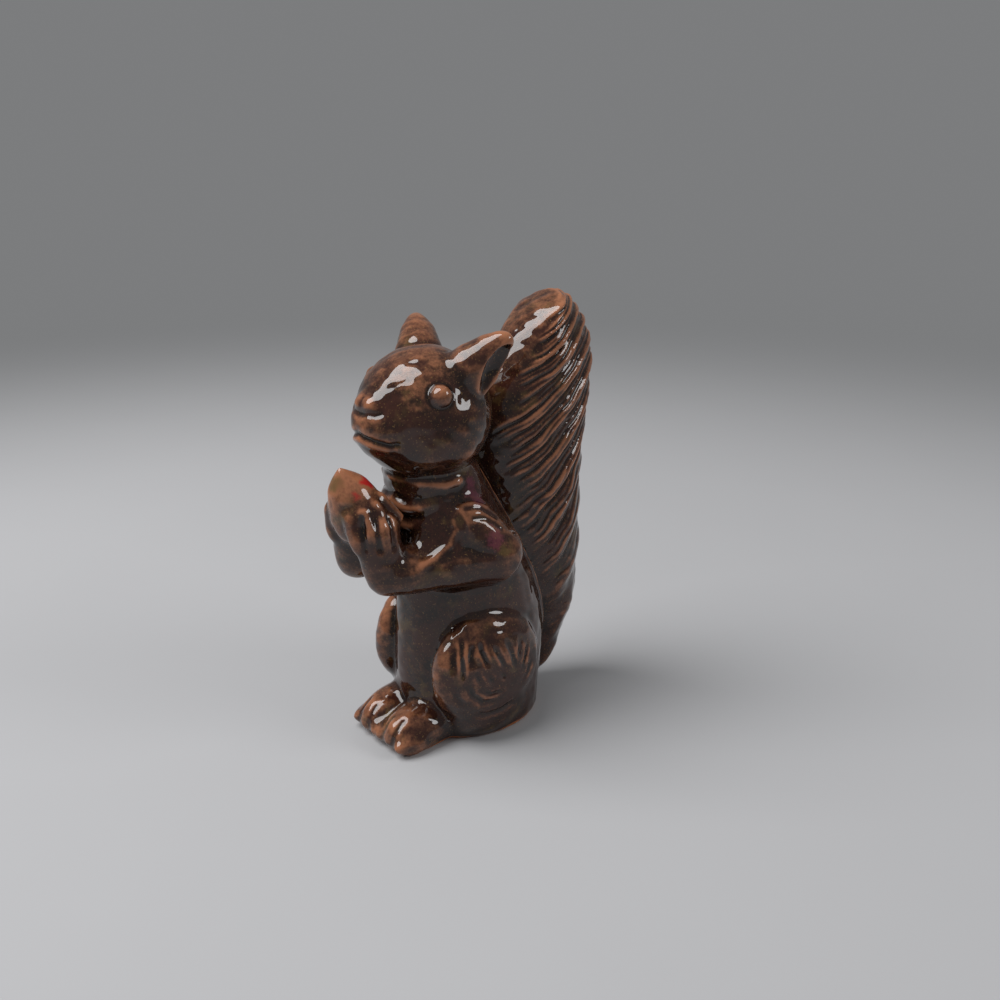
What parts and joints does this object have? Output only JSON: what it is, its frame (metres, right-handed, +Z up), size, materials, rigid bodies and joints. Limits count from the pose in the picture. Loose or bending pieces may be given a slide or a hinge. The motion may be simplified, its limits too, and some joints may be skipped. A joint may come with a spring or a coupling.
{
  "type": "figurine",
  "caption": "Small glazed redware squirrel ornament, sitting up with an acorn in its paws and a tall fur-carved tail against its back",
  "frame": {"origin": "on the flat underside, on the mirror plane, under the middle of the body", "axes": "+Z up, -Y the way the squirrel faces, +X the squirrel's left"},
  "size_m": [0.0468, 0.0877, 0.1208],
  "materials": {
    "glaze": "glossy treacle-brown glaze over red clay, thin and rusty on the ridges"
  },
  "bodies": {
    "root": {"body_shell": "glaze", "head_shell": "glaze", "left_ear": "glaze", "right_ear": "glaze", "left_eye": "glaze", "right_eye": "glaze", "left_arm": "glaze", "right_arm": "glaze", "acorn": "glaze", "left_haunch": "glaze", "right_haunch": "glaze", "left_foot": "glaze", "right_foot": "glaze", "tail_shell": "glaze"}
  },
  "joints": []
}
